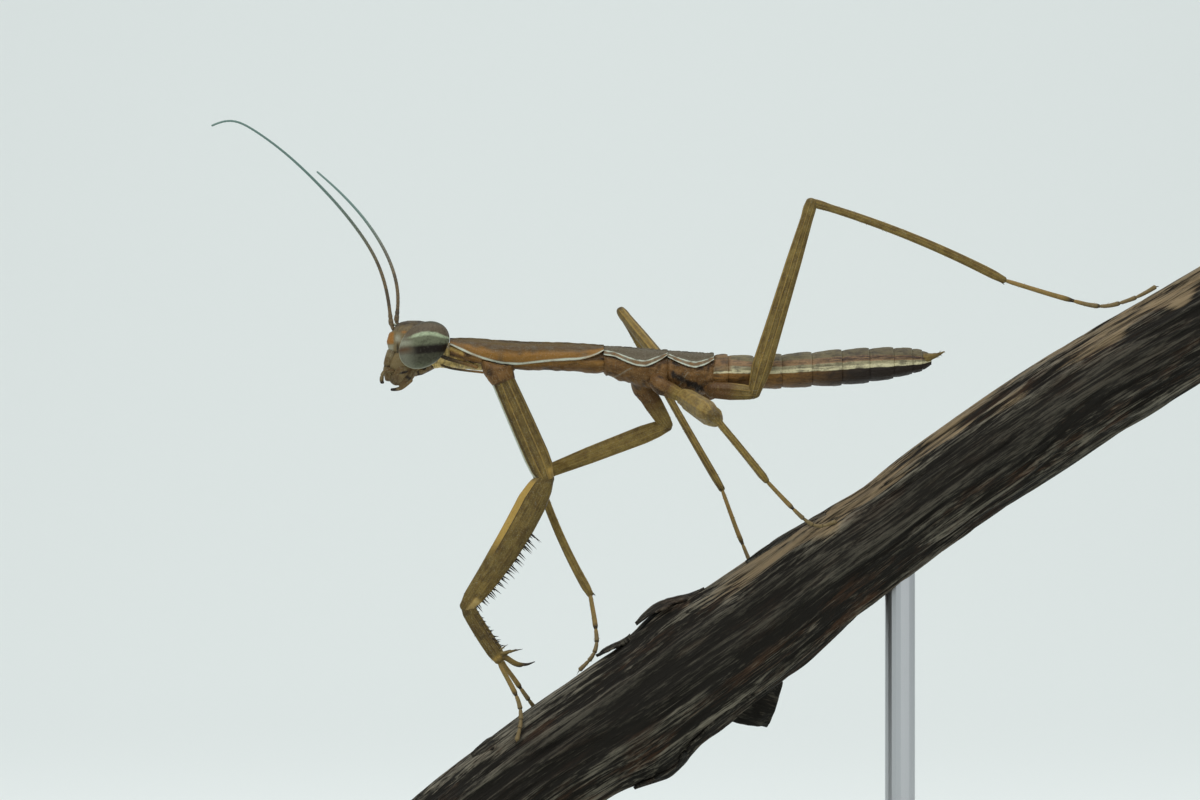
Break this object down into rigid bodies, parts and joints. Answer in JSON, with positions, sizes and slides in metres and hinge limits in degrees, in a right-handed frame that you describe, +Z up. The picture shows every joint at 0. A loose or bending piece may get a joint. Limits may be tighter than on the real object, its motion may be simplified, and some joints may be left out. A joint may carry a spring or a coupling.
{
  "type": "praying mantis model on a branch",
  "caption": "Life-size still model of a young praying mantis walking up a cut length of branch, held over a flat base by two short rods.",
  "frame": {"origin": "middle of the underside of the display stand's base", "axes": "+Z up, the insect faces -X with its left side towards -Y, and the base's length and the branch's run lie along X"},
  "size_m": [0.0827, 0.04, 0.0681],
  "materials": {
    "head": "satin horny shell, grey-brown crown, orange-brown face",
    "eye": "smooth glossy facets banded olive, pale green and dark brown",
    "feeler": "ringed thread, brown at the root and grey-green at the tip",
    "membrane": "soft yellow-olive folded skin",
    "back_plate": "satin horny shell, dark grey-brown with ochre flanks and a pale edge",
    "flank": "satin horny shell, red-brown with a grain",
    "abdomen": "satin horny shell, olive-brown, pale band along the side, dark below",
    "leg": "satin horny shell, olive-brown with pale keels",
    "foot": "satin horny shell, brown",
    "bark": "weathered bark, dark with grey and tan fibres",
    "stand_paint": "fine satin pale grey powder coat",
    "stand_steel": "satin steel rod"
  },
  "bodies": {
    "root": {"abdomen_1": "abdomen", "abdomen_10": "abdomen", "abdomen_2": "abdomen", "abdomen_3": "abdomen", "abdomen_4": "abdomen", "abdomen_5": "abdomen", "abdomen_6": "abdomen", "abdomen_7": "abdomen", "abdomen_8": "abdomen", "abdomen_9": "abdomen", "antenna_left_1": "feeler", "antenna_left_2": "feeler", "antenna_right_1": "feeler", "antenna_right_2": "feeler", "branch": "bark", "cercus_left": "leg", "cercus_right": "leg", "eye_left": "eye", "eye_right": "eye", "foreleg_coxa_left": "leg", "foreleg_coxa_right": "leg", "foreleg_femur_left": "leg", "foreleg_femur_right": "leg", "foreleg_tarsus_left": "foot", "foreleg_tarsus_right": "foot", "foreleg_tibia_left": "leg", "foreleg_tibia_right": "leg", "head_capsule": "head", "hindleg_coxa_left": "leg", "hindleg_coxa_right": "leg", "hindleg_femur_left": "leg", "hindleg_femur_right": "leg", "hindleg_tarsus_left": "foot", "hindleg_tarsus_right": "foot", "hindleg_tibia_left": "leg", "hindleg_tibia_right": "leg", "mesonotum": "back_plate", "mesothorax": "flank", "metanotum": "back_plate", "metathorax": "flank", "midleg_coxa_left": "leg", "midleg_coxa_right": "leg", "midleg_femur_left": "leg", "midleg_femur_right": "leg", "midleg_tarsus_left": "foot", "midleg_tarsus_right": "foot", "midleg_tibia_left": "leg", "midleg_tibia_right": "leg", "mouthparts": "head", "neck": "membrane", "palp_left": "head", "palp_right": "head", "pronotum": "back_plate", "prosternum": "flank", "stand_base": "stand_paint", "stand_rod_high": "stand_steel", "stand_rod_low": "stand_steel"}
  },
  "joints": []
}
